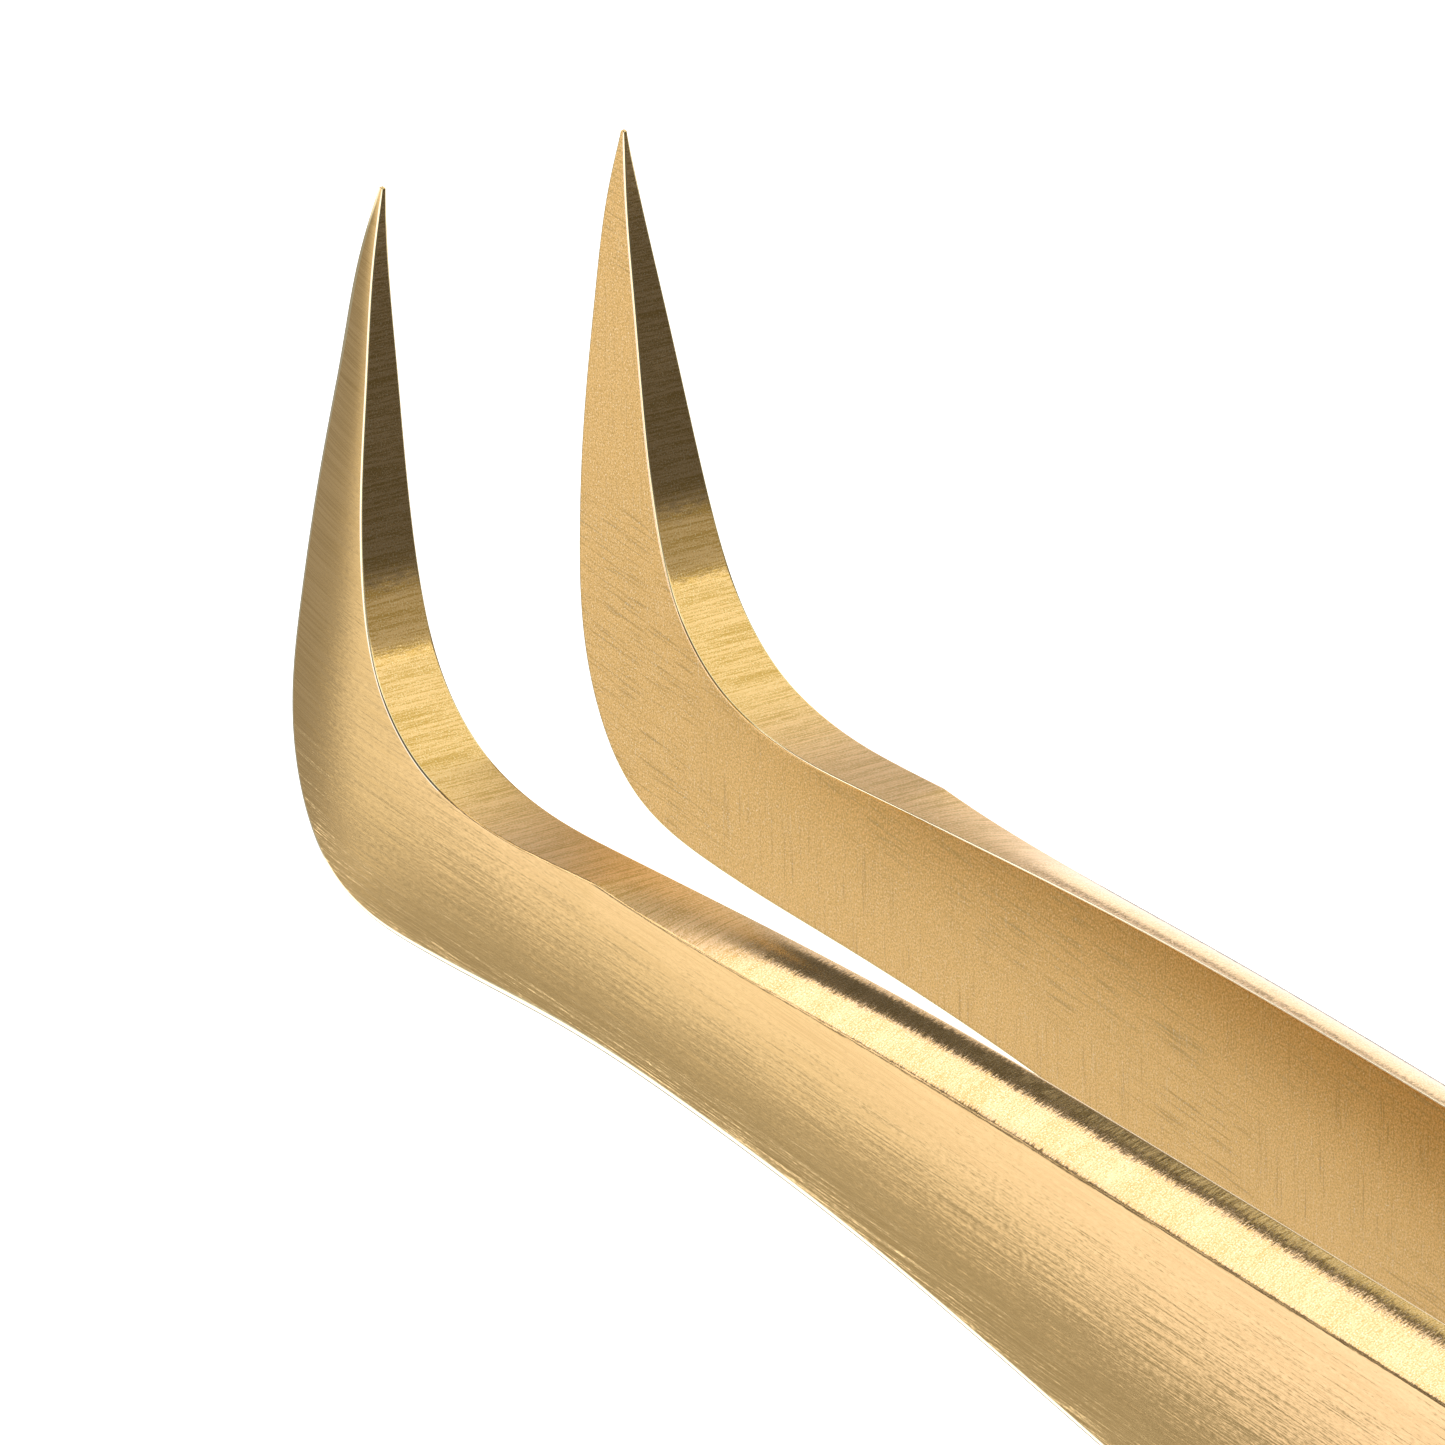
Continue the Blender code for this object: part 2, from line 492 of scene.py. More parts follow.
GOLD: Colour = (0.89, 0.60, 0.25, 1.0)
DEEP_GOLD: Colour = (0.70, 0.46, 0.175, 1.0)
MATTE_GOLD: Colour = (0.98, 0.63, 0.22, 1.0)
UMBER_GOLD: Colour = (0.62, 0.385, 0.11, 1.0)
ROSE_GOLD: Colour = (0.92, 0.62, 0.30, 1.0)
# painted highlight: the arrises' paler gold makes the lamps' reflections on them show nearly white
PAINTED_HIGHLIGHT_GOLD: Colour = (0.98, 0.82, 0.50, 1.0)


# ---------------------------------------------------------------------------------------------
# The blade's form
# ---------------------------------------------------------------------------------------------


def spline(knots: np.ndarray, values: np.ndarray, at: np.ndarray) -> np.ndarray:
    """A natural cubic spline.

    Args:
        knots: where the values are given.
        values: what the curve passes through.
        at: where to read it.

    Returns:
        The curve's values.
    """
    steps = np.diff(knots)
    slopes = np.diff(values) / steps
    count = len(knots)
    system = np.eye(count)
    right = np.zeros(count)
    for i in range(1, count - 1):
        system[i, i - 1 : i + 2] = steps[i - 1], 2 * (steps[i - 1] + steps[i]), steps[i]
        right[i] = 6 * (slopes[i] - slopes[i - 1])
    bend = np.linalg.solve(system, right)
    span = np.clip(np.searchsorted(knots, at, side="right") - 1, 0, count - 2)
    step, low, high = steps[span], at - knots[span], knots[span + 1] - at
    straight = (values[span] * high + values[span + 1] * low) / step
    curved = bend[span] * (high**3 / step - step * high)
    curved = curved + bend[span + 1] * (low**3 / step - step * low)
    return straight + curved / 6


def eased(value: float) -> float:
    """A smooth step from 0 to 1."""
    value = min(max(value, 0.0), 1.0)
    return value * value * (3 - 2 * value)


@dataclass(frozen=True)
class Station:
    """A section of the blade.

    It gives the edges from the side, the thickness at each, the crown of the outer face, and how far that
    face's lower corner reaches past the inner face's.
    """

    inside: tuple[float, float]
    outside: tuple[float, float]
    thickness: tuple[float, float]
    crown: float
    flare: float


STATIONS = (
    Station((1.02, 18.10), (0.90, 18.10), (0.10, 0.10), 0.00, 0.00),
    Station((1.22, 16.60), (0.52, 16.60), (0.40, 0.32), 0.01, 0.00),
    Station((1.72, 14.20), (0.22, 14.10), (0.82, 0.60), 0.03, 0.01),
    Station((2.30, 11.60), (0.02, 11.00), (1.24, 0.94), 0.05, 0.04),
    Station((2.95, 9.50), (0.06, 8.40), (1.50, 1.18), 0.06, 0.20),
    Station((3.90, 7.90), (0.55, 5.60), (1.62, 1.34), 0.09, 0.60),
    Station((5.30, 6.92), (2.10, 3.45), (1.64, 1.42), 0.12, 0.74),
    Station((7.40, 6.50), (5.20, 2.74), (1.60, 1.38), 0.13, 0.42),
    Station((10.20, 6.64), (9.60, 2.82), (1.50, 1.32), 0.14, 0.07),
    Station((15.00, 7.14), (15.00, 2.90), (1.42, 1.30), 0.17, 0.04),
    Station((21.00, 7.66), (21.00, 2.63), (1.40, 1.30), 0.20, 0.05),
    Station((28.00, 7.98), (28.00, 1.87), (1.40, 1.30), 0.22, 0.06),
    Station((38.00, 8.25), (38.00, 0.72), (1.40, 1.30), 0.24, 0.05),
    Station((50.00, 8.45), (50.00, 0.00), (1.40, 1.30), 0.24, 0.00),
    Station((61.00, 8.45), (61.00, -0.10), (1.40, 1.30), 0.22, 0.00),
    Station((72.00, 8.30), (72.00, 0.00), (1.40, 1.30), 0.18, 0.00),
    Station((90.00, 7.75), (90.00, 0.60), (1.36, 1.30), 0.10, 0.00),
    Station((110.00, 7.05), (110.00, 1.42), (1.30, 1.30), 0.00, 0.00),
    Station((125.00, 6.70), (125.00, 1.90), (1.30, 1.30), 0.00, 0.00),
)


@dataclass(frozen=True)
class BladeForm:
    """The rule that both blades follow, from the point to the heel."""

    stations: tuple[Station, ...] = STATIONS
    first_body_station: int = 8
    length: float = 125.0
    flex_x: float = 110.0
    tip_half_gap: float = 3.03
    heel_half_gap: float = 1.2
    bow_power: float = 2.5
    ridge_start: float = 11.5
    ridge_rise: float = 4.5
    ridge_drop: float = 0.62
    ridge_share: float = 0.15
    ridge_fade: float = 70.0
    ridge_heel_share: float = 0.4
    ridge_bulge: float = 0.26
    grip_bulge: float = 0.14
    grip_x: float = 38.0
    chamfer_reach: float = 0.26
    chamfer_reach_share: float = 0.2
    chamfer_depth: float = 0.19
    chamfer_depth_share: float = 0.3
    chamfer_bulge: float = 0.025
    heel_radius: float = 2.2
    arris: float = 0.045
    arris_share: float = 0.22

    def columns(self) -> tuple[np.ndarray, np.ndarray]:
        """The stations as columns of numbers.

        Returns:
            Their distances along the blade's middle line, and their numbers, one row each.
        """
        rows = np.array([(*s.inside, *s.outside, *s.thickness, s.crown, s.flare) for s in self.stations])
        middle = (rows[:, 0:2] + rows[:, 2:4]) / 2
        steps = np.linalg.norm(np.diff(middle, axis=0), axis=1)
        return np.concatenate([[0.0], np.cumsum(steps)]), rows

    def read(self, along: np.ndarray) -> np.ndarray:
        """The stations' numbers at any distances along the blade.

        Args:
            along: the distances.

        Returns:
            The numbers, one row for each distance.
        """
        knots, rows = self.columns()
        found = np.stack([spline(knots, column, along) for column in rows.T], axis=1)
        found[:, 3] = np.maximum(found[:, 3], 0.0)
        found[:, 6:] = np.maximum(found[:, 6:], 0.0)
        return found

    def along_at(self, x: np.ndarray) -> np.ndarray:
        """How far along the body its upper edge reaches each x.

        Args:
            x: the places to find, from the front.

        Returns:
            The distances along the blade.
        """
        knots, _ = self.columns()
        body = np.linspace(knots[self.first_body_station], knots[-1], 2000)
        return np.interp(x, self.read(body)[:, 0], body)

    def half_gap(self, x: float) -> float:
        """The inner face's distance from the middle plane.

        Args:
            x: the place, from the front.

        Returns:
            The distance.
        """
        way = min(max((self.flex_x - x) / self.flex_x, 0.0), 1.0)
        bow = 1 - (1 - way) ** self.bow_power
        return self.heel_half_gap + (self.tip_half_gap - self.heel_half_gap) * bow

    def drop(self, x: float, width: float) -> float:
        """How far below the upper edge the outer corner lies.

        Args:
            x: the place, from the front.
            width: the blade's width there.

        Returns:
            The drop.
        """
        back = eased((x - self.ridge_fade) / (self.flex_x - self.ridge_fade))
        fade = 1 - (1 - self.ridge_heel_share) * back
        past = max(x - self.ridge_start, 0.0) / self.ridge_rise
        return min(self.ridge_drop * fade * (1 - math.exp(-past)), self.ridge_share * width)

    def bulge(self, x: float) -> float:
        """How far the ground band stands out, as a share of its drop."""
        share = eased((x - self.ridge_start) / (self.grip_x - self.ridge_start))
        return self.ridge_bulge + (self.grip_bulge - self.ridge_bulge) * share

    def heel_trim(self, x: float) -> float:
        """How much the round heel takes off each edge."""
        over = min(max(x - (self.length - self.heel_radius), 0.0), self.heel_radius)
        return self.heel_radius - math.sqrt(self.heel_radius**2 - over**2)

    def trimmed(self, along: np.ndarray, inset: float = 0.0) -> np.ndarray:
        """The stations' numbers with the heel rounded off.

        Args:
            along: the distances along the blade.
            inset: how far the rounded end is drawn in.

        Returns:
            The numbers, one row for each distance.
        """
        rows = self.read(along)
        for row in rows:
            trim = self.heel_trim(row[0] + inset)
            row[1] -= trim
            row[3] += trim
        return rows

    def in_frame(self, x: float, y: float, z: float) -> tuple[float, float, float]:
        """A place from the front of the tongs, as metres in the frame."""
        return (x - self.length / 2) * MM, y * MM, z * MM


def round_lengths(ring: np.ndarray) -> np.ndarray:
    """How far round a ring its points lie.

    Args:
        ring: the ring's points, in metres.

    Returns:
        The lengths in millimetres, with the way back to the first point at the end.
    """
    closed = np.vstack([ring, ring[:1]])
    steps = np.linalg.norm(np.diff(closed, axis=0), axis=1) / MM
    return np.concatenate([[0.0], np.cumsum(steps)])


def loft(
    name: str, rings: list[np.ndarray], along: list[float], surfaces: list[list[Surface]]
) -> bpy.types.Mesh:
    """A closed mesh through a row of rings, with a face of its own at each end.

    Args:
        name: the mesh's name.
        rings: the points of each ring, in metres.
        along: how far along the piece each ring lies, in millimetres.
        surfaces: the surface after each point of each ring.

    Returns:
        The mesh, with its lengths along and round as texture coordinates.
    """
    around = [round_lengths(ring) for ring in rings]
    mesh = bpy.data.meshes.new(name)
    shape = bmesh.new()
    layer = shape.loops.layers.uv.new(Blade.UV_NAME)
    rows = [[shape.verts.new(point) for point in ring] for ring in rings]
    for k in range(len(rows) - 1):
        for i in range(len(rings[0])):
            j = (i + 1) % len(rings[0])
            face = shape.faces.new((rows[k][i], rows[k][j], rows[k + 1][j], rows[k + 1][i]))
            face.material_index = surfaces[k][i].value
            places = ((k, i), (k, i + 1), (k + 1, i + 1), (k + 1, i))
            for loop, (ring, point) in zip(face.loops, places):
                loop[layer].uv = (along[ring] / Blade.UV_UNIT, around[ring][point] / Blade.UV_UNIT)
    for row in (rows[0], rows[-1]):
        shape.faces.new(row).material_index = Surface.EDGE.value
    bmesh.ops.triangulate(shape, faces=[face for face in shape.faces if len(face.verts) > 4])
    bmesh.ops.recalc_face_normals(shape, faces=shape.faces)
    shape.to_mesh(mesh)
    shape.free()
    mesh.shade_smooth()
    return mesh


def dressed(
    name: str, mesh: bpy.types.Mesh, finishes: dict[Surface, bpy.types.Material]
) -> bpy.types.Object:
    """Puts a mesh in the scene with a material for each of its surfaces.

    Args:
        name: the object's name.
        mesh: its mesh, with each face's surface as its material's place.
        finishes: the materials.

    Returns:
        The object.
    """
    for surface in Surface:
        mesh.materials.append(finishes[surface])
    return put(name, mesh)


@dataclass(frozen=True)
class Run:
    """A straight or bulged stretch of a section, from one corner to the next."""

    surface: Surface
    points: int
    bulge: float = 0.0


@dataclass
class Blade:
    """One arm of the tongs as a continuous blade, with broken arrises between its ground faces."""

    UV_NAME = "blade"
    UV_UNIT = 10.0

    name: str
    side: int
    body: str
    nodes: tuple[str, str]
    form: BladeForm = field(default_factory=BladeForm)
    ridge_points: int = 13
    outside_points: int = 21
    chamfer_points: int = 7
    edge_points: int = 6
    inside_points: int = 15
    arris_steps: int = 4
    tip_steps: int = 5
    bright_arris_x: float = 6.0
    bend_x: float = 14.0
    front_x: float = 40.0
    bend_rings: int = 200
    front_rings: int = 90
    back_rings: int = 90
    heel_rings: int = 60
    round_rings: int = 15
    blend_reach: float = 0.034  # metres in front of the heel

    def corner_surface(self, corner: int, x: float) -> Surface:
        """The arris finish after a side: pale gold as painted highlight, but for the outer upper one along
        the body.
        """
        return Surface.OUTSIDE if corner == 0 and x > self.bright_arris_x else Surface.ARRIS

    def section(self, row: np.ndarray) -> tuple[list[tuple[float, float]], list[Surface]]:
        """One ring round the blade.

        Args:
            row: the stations' numbers at this place.

        Returns:
            The ring as (reach across, depth from the inner face), and the surface after each point.
        """
        form = self.form
        width = float(np.linalg.norm(row[2:4] - row[0:2]))
        thick_in, thick_out, crown, flare = row[4:8]
        drop = form.drop(row[0], width)
        corner = width + flare
        reach = corner - min(form.chamfer_reach, form.chamfer_reach_share * width)
        depth = thick_out - min(form.chamfer_depth, form.chamfer_depth_share * thick_out)
        corners = [
            (0.0, 0.0),
            (drop, thick_in),
            (reach, thick_out),
            (corner, depth),
            (width, 0.0),
        ]
        runs = [
            Run(Surface.EDGE, self.ridge_points, form.bulge(row[0]) * drop),
            Run(Surface.OUTSIDE, self.outside_points, crown),
            Run(Surface.ARRIS, self.chamfer_points, form.chamfer_bulge),
            Run(Surface.EDGE, self.edge_points),
            Run(Surface.INSIDE, self.inside_points),
        ]
        ring: list[tuple[float, float]] = []
        surfaces: list[Surface] = []
        sides = [self._side(a, b, run) for a, b, run in zip(corners, corners[1:] + corners[:1], runs)]
        for i, (line, run) in enumerate(zip(sides, runs)):
            ring += [tuple(point) for point in line]
            rounded = self.corner_surface(i, row[0])
            surfaces += [run.surface] * (len(line) - 1) + [rounded]
            turn = self._arris(line[-1], corners[(i + 1) % len(corners)], sides[(i + 1) % len(sides)][0])
            ring += turn
            surfaces += [rounded] * len(turn)
        return ring, surfaces

    def _side(self, start: Sequence[float], end: Sequence[float], run: Run) -> np.ndarray:
        """The points of one side, cut back at both corners and closest together there.

        Args:
            start: the corner that it leaves.
            end: the corner that it comes to.
            run: its points and its bulge.

        Returns:
            The points, one row each.
        """
        start, end = np.array(start), np.array(end)
        length = float(np.linalg.norm(end - start))
        cut = min(self.form.arris, self.form.arris_share * length) / length
        share = cut + (1 - 2 * cut) * (1 - np.cos(np.linspace(0, math.pi, run.points))) / 2
        along = (end - start) / length
        outwards = np.array([-along[1], along[0]])
        bulge = 4 * run.bulge * share * (1 - share)
        return start + np.outer(share, end - start) + np.outer(bulge, outwards)

    def _arris(
        self, before: np.ndarray, corner: Sequence[float], after: np.ndarray
    ) -> list[tuple[float, float]]:
        """The points that round a corner off between two sides.

        Args:
            before: the last point of the side before it.
            corner: the sharp corner.
            after: the first point of the side after it.

        Returns:
            The points between the two.
        """
        points = []
        for step in range(1, self.arris_steps):
            t = step / self.arris_steps
            point = (1 - t) ** 2 * before + 2 * t * (1 - t) * np.array(corner) + t * t * after
            points.append((float(point[0]), float(point[1])))
        return points

    def places(self) -> np.ndarray:
        """Where the rings stand along the blade: closest at the point, the bend and the heel.

        Returns:
            Their distances along it.
        """
        form = self.form
        knots, _ = form.columns()
        straight_end = form.length - form.heel_radius
        ends = form.along_at(np.array([self.bend_x, self.front_x, form.flex_x, straight_end]))
        counts = (self.bend_rings, self.front_rings, self.back_rings, self.heel_rings)
        starts = [0.0, *ends[:-1]]
        turn = np.linspace(0.0, math.pi / 2, self.round_rings + 1)[1:]
        rounded = form.along_at(straight_end + form.heel_radius * np.sin(turn))
        return np.concatenate([
            *(np.linspace(a, b, n, endpoint=False) for a, b, n in zip(starts, ends, counts)),
            ends[-1:],
            np.minimum(rounded, knots[-1]),
        ])

    def rings(self) -> tuple[list[np.ndarray], list[float], list[list[Surface]]]:
        """Every ring of the blade.

        Returns:
            The rings in metres, how far along each lies, and the surfaces round each.
        """
        places = self.places()
        rings, along, surfaces = [], [], []
        for place, row in zip(places, self.form.trimmed(places)):
            ring, found = self.section(row)
            rings.append(self._in_place(row, ring))
            surfaces.append(found)
            along.append(float(place))
        return rings, along, surfaces

    def _in_place(self, row: np.ndarray, ring: list[tuple[float, float]]) -> np.ndarray:
        """Puts a ring's points in the frame.

        Args:
            row: the stations' numbers at this place.
            ring: the points as (reach across, depth from the inner face).

        Returns:
            The points in metres, one row each.
        """
        inside, outside = row[0:2], row[2:4]
        across = (outside - inside) / np.linalg.norm(outside - inside)
        found = []
        for reach, depth in ring:
            x, z = inside + across * reach
            found.append(self.form.in_frame(x, self.side * (self.form.half_gap(x) + depth), z))
        return np.array(found)

    def mesh(self) -> bpy.types.Mesh:
        """The whole blade, rounded over at the point and the heel.

        Returns:
            The mesh, lofted through the blade's rings.
        """
        rings, along, surfaces = self.rings()
        rings, along = self._round_end(rings, along)
        return loft(self.name, rings, along, [surfaces[0]] * self.tip_steps + surfaces)

    def _round_end(
        self, rings: list[np.ndarray], along: list[float]
    ) -> tuple[list[np.ndarray], list[float]]:
        """Adds shrinking rings at the point, so that it ends in a tiny dome.

        Args:
            rings: the blade's rings, in metres.
            along: how far along each lies, in millimetres.

        Returns:
            Both lists with the dome's rings in front.
        """
        first = rings[0]
        centre = first.mean(axis=0)
        radius = 0.5 * float(np.ptp(first[:, 1]))
        extra, places = [], []
        for step in range(self.tip_steps, 0, -1):
            turn = math.pi / 2 * step / (self.tip_steps + 0.6)
            ring = centre + (first - centre) * math.cos(turn)
            ring[:, 2] += radius * math.sin(turn)
            extra.append(ring)
            places.append(-radius / MM * math.sin(turn))
        return extra + rings, places + along

    def build(self, finishes: dict[Surface, bpy.types.Material]) -> bpy.types.Object:
        """Makes the blade, dresses it and hides the imported parts that it replaces.

        Args:
            finishes: a material for each of the blade's surfaces.

        Returns:
            The finished object.
        """
        blade = dressed(self.name, self.mesh(), finishes)
        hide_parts(*self.nodes)
        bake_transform(blade)
        return blade


@dataclass
class HeelFiller:
    """The flat plate between the two arms at the heel, a little smaller than their outline."""

    name: str = "heel_filler_plate"
    form: BladeForm = field(default_factory=BladeForm)
    front_x: float = 110.6
    inset: float = 0.10
    arris: float = 0.12
    steps: int = 5
    straight_rings: int = 12
    round_rings: int = 13

    def ring(self, row: np.ndarray) -> tuple[np.ndarray, list[Surface]]:
        """One ring round the plate.

        Args:
            row: the stations' numbers at this place.

        Returns:
            The ring's points in metres, and the surface after each.
        """
        inside, outside = row[0:2], row[2:4]
        width = float(np.linalg.norm(outside - inside))
        across = (outside - inside) / width
        half = self.form.heel_half_gap
        low, high = self.inset, width - self.inset
        corners = ((low, -half), (low, half), (high, half), (high, -half))
        points, surfaces = [], []
        for i, (reach, depth) in enumerate(corners):
            inwards = (1 if i < 2 else -1, -1 if depth > 0 else 1)
            flat = np.linspace(0, math.pi / 2, self.steps)
            turn = flat if i % 2 == 0 else flat[::-1]
            for angle in turn:
                r = reach + inwards[0] * self.arris * (1 - math.cos(angle))
                d = depth + inwards[1] * self.arris * (1 - math.sin(angle))
                x, z = inside + across * r
                points.append(self.form.in_frame(x, d, z))
            surfaces += [Surface.ARRIS] * (self.steps - 1)
            surfaces.append(Surface.EDGE if i % 2 == 0 else Surface.INSIDE)
        return np.array(points), surfaces

    def build(self, finishes: dict[Surface, bpy.types.Material]) -> bpy.types.Object:
        """Makes the plate and fixes it to the heel.

        Args:
            finishes: a material for each of its surfaces.

        Returns:
            The finished object.
        """
        form = self.form
        straight = form.length - form.heel_radius
        turn = np.linspace(0.0, math.pi / 2, self.round_rings + 1)[1:]
        xs = np.concatenate([
            np.linspace(self.front_x, straight, self.straight_rings),
            straight + (form.heel_radius - self.inset) * np.sin(turn),
        ])
        along = form.along_at(xs)
        rings, surfaces = [], []
        for row in form.trimmed(along, self.inset):
            ring, found = self.ring(row)
            rings.append(ring)
            surfaces.append(found)
        mesh = loft(self.name, rings, [float(place) for place in along], surfaces)
        plate = dressed(self.name, mesh, finishes)
        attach(plate, "heel")
        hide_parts("heel_filler")
        return plate


@dataclass
class WeldMarks:
    """The round marks that the spot welds leave on the outer faces of the heel."""

    name: str = "weld_marks"
    count: int = 2
    spacing: float = 4.6
    radius: float = 0.85
    rim: float = 0.11
    proud: float = 0.035
    round_points: int = 48
    rim_points: int = 10

    def tree(self, material: bpy.types.Material) -> bpy.types.NodeTree:
        """A row of dished spots with a raised rim, on each side of the heel.

        Args:
            material: what the marks are dressed in.

        Returns:
            The node tree, with named inputs.
        """
        tree = bpy.data.node_groups.new("spot welds", "GeometryNodeTree")
        face = tree.interface
        face.new_socket("Geometry", in_out="INPUT", socket_type="NodeSocketGeometry")
        for name, kind in (
            ("Count", "NodeSocketInt"),
            ("First left", "NodeSocketVector"),
            ("First right", "NodeSocketVector"),
            ("Step", "NodeSocketVector"),
            ("Radius", "NodeSocketFloat"),
            ("Rim", "NodeSocketFloat"),
            ("Proud", "NodeSocketFloat"),
        ):
            face.new_socket(name, in_out="INPUT", socket_type=kind)
        face.new_socket("Geometry", in_out="OUTPUT", socket_type="NodeSocketGeometry")
        given = tree.nodes.new("NodeGroupInput").outputs

        add = partial(add_node, tree)
        ring = "GeometryNodeCurvePrimitiveCircle"
        circle = add(ring, {}, {"Resolution": self.round_points, "Radius": given["Radius"]})
        section = add(ring, {}, {"Resolution": self.rim_points, "Radius": given["Rim"]})
        rim = add("GeometryNodeCurveToMesh", {}, {0: circle.outputs[0], 1: section.outputs[0]})
        flatten = add("ShaderNodeMath", {"operation": "DIVIDE"}, {0: given["Proud"], 1: given["Rim"]})
        scale = add("ShaderNodeCombineXYZ", {}, {"X": 1.0, "Y": 1.0, "Z": flatten.outputs[0]})
        low_rim = add("GeometryNodeTransform", {}, {"Geometry": rim.outputs[0], "Scale": scale.outputs[0]})
        dish = add("GeometryNodeMeshCylinder", {}, {
            "Vertices": self.round_points, "Radius": given["Radius"], "Depth": given["Proud"],
        })
        spot = add("GeometryNodeJoinGeometry", {}, {})
        for part in (dish.outputs["Mesh"], low_rim.outputs[0]):
            tree.links.new(part, spot.inputs[0])
        both = add("GeometryNodeJoinGeometry", {}, {})
        for first, angle in (("First left", math.pi / 2), ("First right", -math.pi / 2)):
            row = add("GeometryNodeMeshLine", {}, {
                "Count": given["Count"], "Start Location": given[first], "Offset": given["Step"],
            })
            placed = add("GeometryNodeInstanceOnPoints", {}, {
                "Points": row.outputs[0], "Instance": spot.outputs[0], "Rotation": (angle, 0.0, 0.0),
            })
            tree.links.new(placed.outputs[0], both.inputs[0])
        real = add("GeometryNodeRealizeInstances", {}, {0: both.outputs[0]})
        smooth = add("GeometryNodeSetShadeSmooth", {}, {"Geometry": real.outputs[0]})
        dressed = add("GeometryNodeSetMaterial", {}, {"Geometry": smooth.outputs[0], "Material": material})
        tree.links.new(dressed.outputs[0], tree.nodes.new("NodeGroupOutput").inputs[0])
        return tree

    def build(self, material: bpy.types.Material) -> bpy.types.Object:
        """Makes the marks and fixes them to the heel.

        Args:
            material: what the marks are dressed in.

        Returns:
            The finished object.
        """
        left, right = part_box("left_heel_leaf"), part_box("right_heel_leaf")
        first_x = (left[0].x + left[1].x - self.spacing * MM) / 2
        middle_z = (left[0].z + left[1].z) / 2
        values = {
            "Count": self.count,
            "First left": (first_x, left[0].y, middle_z),
            "First right": (first_x, right[1].y, middle_z),
            "Step": (self.spacing * MM, 0.0, 0.0),
            "Radius": self.radius * MM,
            "Rim": self.rim * MM,
            "Proud": self.proud * MM,
        }
        maker = put(self.name + "_maker", bpy.data.meshes.new(self.name + "_maker"))
        modifier = maker.modifiers.new("spot welds", "NODES")
        modifier.node_group = self.tree(material)
        for item in modifier.node_group.interface.items_tree:
            if item.in_out == "INPUT" and item.name in values:
                modifier[item.identifier] = values[item.name]
        graph = bpy.context.evaluated_depsgraph_get()
        mesh = bpy.data.meshes.new_from_object(maker.evaluated_get(graph), depsgraph=graph)
        mesh.name = self.name
        bpy.data.objects.remove(maker)
        marks = put(self.name, mesh)
        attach(marks, "heel")
        return marks


# ---------------------------------------------------------------------------------------------
# The studio
# ---------------------------------------------------------------------------------------------


def direction(azimuth: float, elevation: float) -> Vector:
    """The way towards a place round the tongs: azimuth 0 is in front of the left arm, 90 behind the heel."""
    a, e = math.radians(azimuth), math.radians(elevation)
    return Vector((math.sin(a) * math.cos(e), -math.cos(a) * math.cos(e), math.sin(e)))


@dataclass(frozen=True)
class SoftBox:
    """A rectangular lamp that faces the tongs, placed and sized by the angles it fills."""

    name: str
    azimuth: float
    elevation: float
    wide: float
    high: float
    radiance: float
    colour: tuple[float, float, float] = (1.0, 1.0, 1.0)
    fade: float = 0.0
    layers: int = 6
    layer_gap: float = 0.01
    distance: float = 1.0

    def build(self, target: Vector) -> None:
        """Hangs the lamp: a nest of sheets where its edge fades out, or else one sheet.

        Args:
            target: the place that it faces.
        """
        layers = self.layers if self.fade else 1
        for layer in range(layers):
            grow = self.fade * (1 - (2 * layer + 1) / layers)
            distance = self.distance * (1 + self.layer_gap * layer)
            self._sheet(target, distance, grow, self.radiance / layers)

    def _sheet(self, target: Vector, distance: float, grow: float, radiance: float) -> None:
        """Hangs one sheet of light.

        Args:
            target: the place that it faces.
            distance: how far from there it hangs.
            grow: how many degrees higher than the box it is; it is wider by half as much.
            radiance: its brightness.
        """
        back = direction(self.azimuth, self.elevation)
        lamp = bpy.data.lights.new(self.name, "AREA")
        lamp.shape = "RECTANGLE"
        lamp.size = 2 * distance * math.tan(math.radians((self.wide + grow / 2) / 2))
        lamp.size_y = 2 * distance * math.tan(math.radians((self.high + grow) / 2))
        lamp.energy = radiance * math.pi * lamp.size * lamp.size_y
        lamp.color = self.colour
        turn = back.to_track_quat("Z", "Y").to_matrix().to_4x4()
        put(self.name, lamp).matrix_world = Matrix.Translation(target + back * distance) @ turn


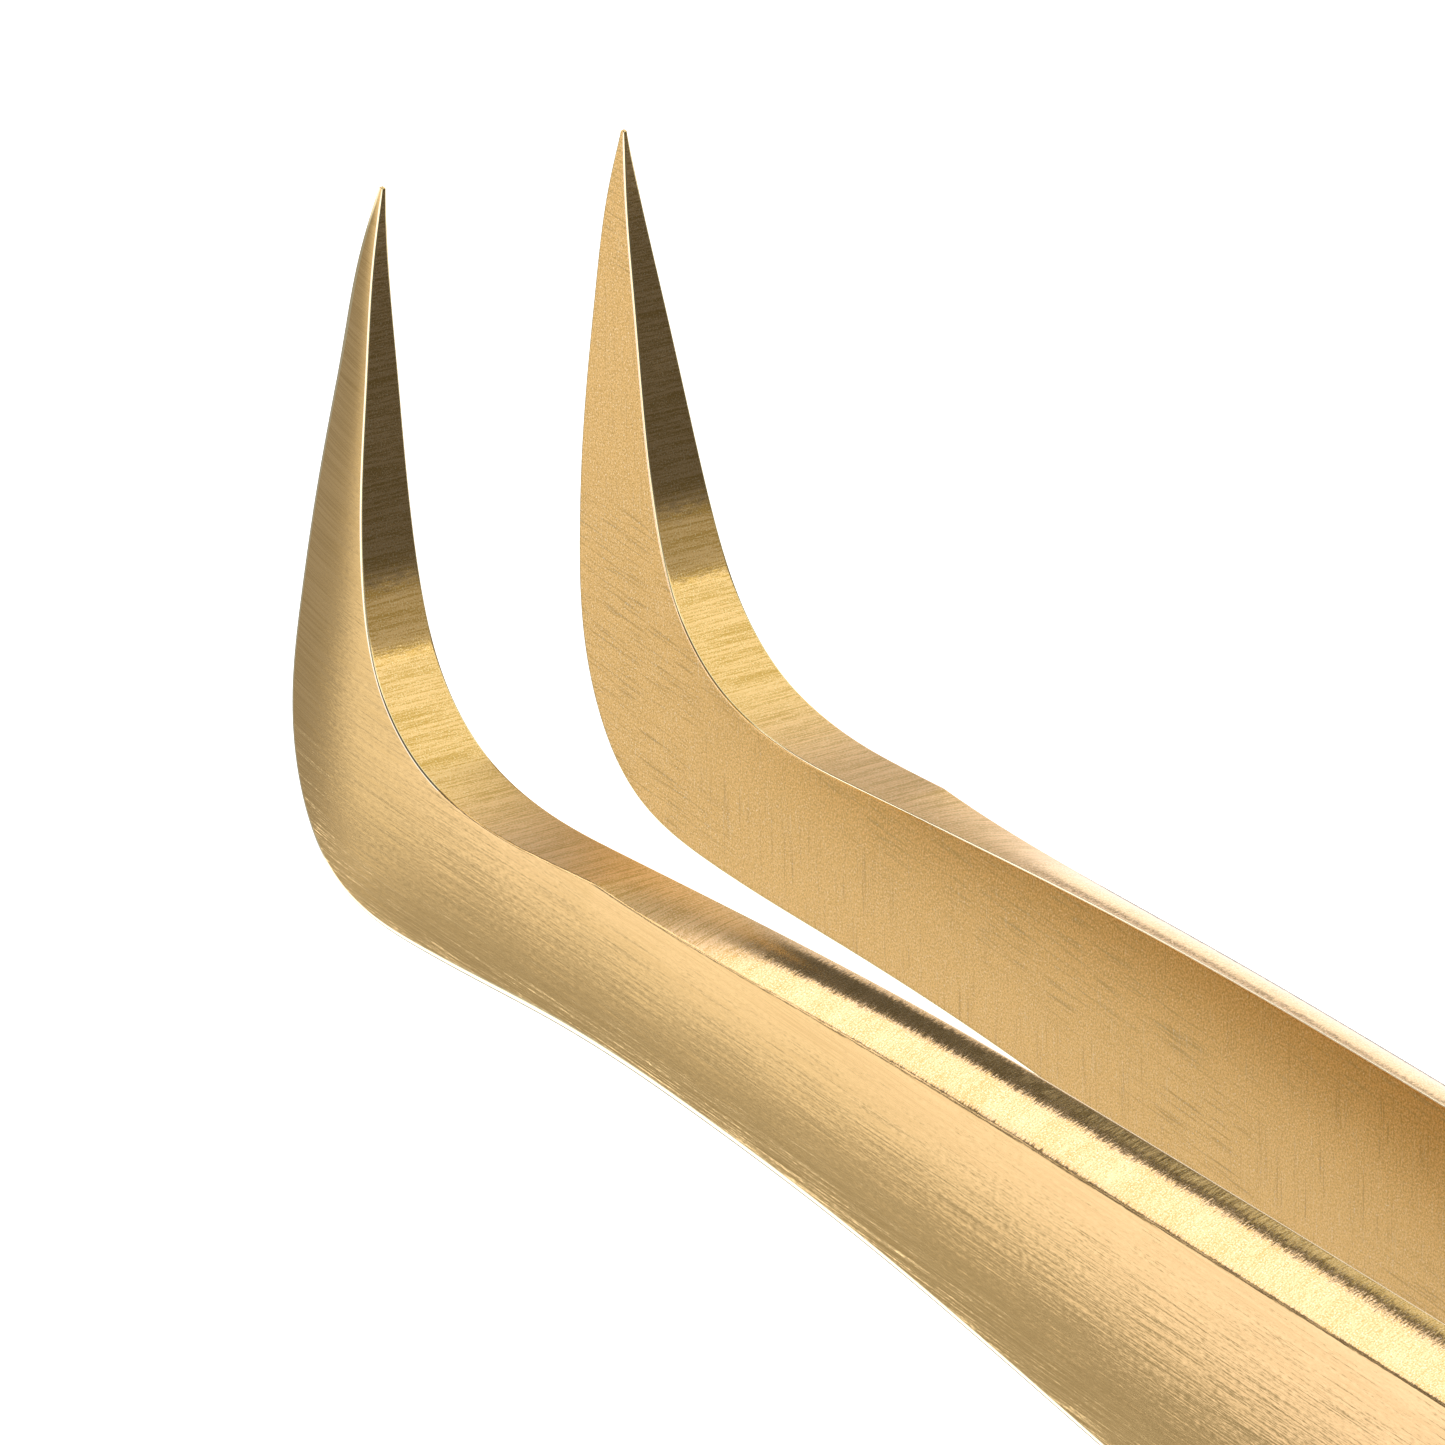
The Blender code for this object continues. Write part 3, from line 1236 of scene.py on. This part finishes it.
@dataclass
class Studio:
    """A pale floor, soft lamps and the camera."""

    target: Vector
    azimuth: float = 53.245
    elevation: float = 25.666
    roll: float = 2.903
    distance: float = 0.260
    field_width: float = 0.030104
    sensor: float = 36.0
    clip: tuple[float, float] = (0.01, 100.0)
    floor_size: float = 4.0
    floor_drop: float = 0.0002
    floor_tone: float = 0.9
    world: float = 0.12

    def camera(self) -> None:
        """Puts the camera on the line of the close-up."""
        back = direction(self.azimuth, self.elevation)
        data = bpy.data.cameras.new("camera")
        data.sensor_width = self.sensor
        data.lens = self.sensor * self.distance / self.field_width
        data.clip_start, data.clip_end = self.clip
        obj = put("camera", data)
        level = (-back).to_track_quat("-Z", "Y").to_matrix().to_4x4()
        turn = Matrix.Rotation(math.radians(self.roll), 4, "Z")
        obj.matrix_world = Matrix.Translation(self.target + back * self.distance) @ level @ turn
        bpy.context.scene.camera = obj

    def floor(self) -> None:
        """Lays the pale floor just under the tongs."""
        mesh = bpy.data.meshes.new("floor")
        shape = bmesh.new()
        bmesh.ops.create_grid(shape, x_segments=1, y_segments=1, size=self.floor_size / 2)
        shape.to_mesh(mesh)
        shape.free()
        shade = Shade("pale floor")
        tone = self.floor_tone
        mesh.materials.append(shade.finish({
            "Base Color": (tone, tone, tone, 1.0),
            "Roughness": 0.9,
            "Emission Color": (1.0, 1.0, 1.0, 1.0),
            "Emission Strength": 1.0,
        }))
        obj = put("floor", mesh)
        obj.location = (0.0, 0.0, -self.floor_drop)
        obj.visible_glossy = False
        obj.visible_shadow = False

    def lamps(self) -> None:
        """Hangs the soft boxes and sets the room's light."""
        boxes = (
            SoftBox("overhead box", 166, 58, 102, 50, 0.97, (1.0, 1.03, 0.85)),
            SoftBox("right back box", 123, 19, 24, 22, 0.36, (1.0, 0.97, 0.75)),
            SoftBox("left top box", -84, 41, 27, 28, 1.6, (1.0, 1.0, 1.15)),
            SoftBox("left mid box", -76, 16, 46, 28, 1.8, (1.0, 1.0, 1.2)),
            SoftBox("left back box", -131.5, 22, 20, 18, 0.95, (1.0, 0.97, 1.1)),
            SoftBox("low back box", -141, -4, 24, 28, 1.3, (1.0, 0.98, 1.0)),
            SoftBox("left front box", -36, -13, 48, 35, 1.0, fade=14.0),
            SoftBox("left front core", -24, -14, 38, 26, 0.9, (1.0, 1.0, 2.0), fade=12.0),
            SoftBox("left fill", -86, -15, 52, 30, 0.24, (1.0, 0.96, 0.85)),
            SoftBox("low fill", -84, -47, 50, 34, 0.34, (1.0, 0.98, 0.85)),
            SoftBox("low kicker", -90, -42, 24, 16, 1.6),
            SoftBox("camera box", 25, -8, 64, 44, 1.5),
            SoftBox("right fill", 80, 30, 30, 50, 0.5),
            SoftBox("rear low box", 186, -15, 70, 50, 0.8),
            SoftBox("rear side box", 139, -20, 24, 24, 0.8),
        )
        for box in boxes:
            box.build(self.target)
        world = bpy.data.worlds.new("room")
        world.use_nodes = True
        ground = world.node_tree.nodes["Background"]
        ground.inputs["Color"].default_value = (1.0, 1.0, 1.0, 1.0)
        ground.inputs["Strength"].default_value = self.world
        bpy.context.scene.world = world

    def build(self) -> None:
        """Sets the whole stage."""
        self.camera()
        self.floor()
        self.lamps()
        bpy.context.scene.view_settings.view_transform = "Standard"


def main() -> None:
    """Builds the tongs and the stage, and reports each piece."""
    logging.basicConfig(level=logging.INFO, format="%(name)s: %(message)s")
    finishes = {
        Surface.INSIDE: Lapped("lapped inside", MATTE_GOLD, UMBER_GOLD, 0.34).material(),
        Surface.EDGE: CrossGround("ground edge", ROSE_GOLD, UMBER_GOLD, 0.14).material(),
        Surface.OUTSIDE: LongBrushed("brushed outside", GOLD, DEEP_GOLD, 0.19).material(),
        Surface.ARRIS: Burnished("burnished arris with painted highlight", PAINTED_HIGHLIGHT_GOLD, GOLD, 0.12).material(),
    }
    blades = (
        Blade("left_arm_blade", -1, "left_arm", ("left_arm", "left_heel_leaf")),
        Blade("right_arm_blade", 1, "right_arm", ("right_arm", "right_heel_leaf")),
    )
    for blade in blades:
        made = blade.build(finishes)
        LOG.info("%s: %d faces", made.name, len(made.data.polygons))
    filler = HeelFiller().build(finishes)
    LOG.info("%s: %d faces", filler.name, len(filler.data.polygons))
    marks = WeldMarks().build(SpotWeld("weld mark", ROSE_GOLD, UMBER_GOLD, 0.34).material())
    LOG.info("%s: %d faces", marks.name, len(marks.data.polygons))
    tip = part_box("left_arm")[0]
    Studio(Vector((tip.x + AIM_BACK, 0.0, AIM_HEIGHT))).build()


if __name__ == "__main__":
    main()
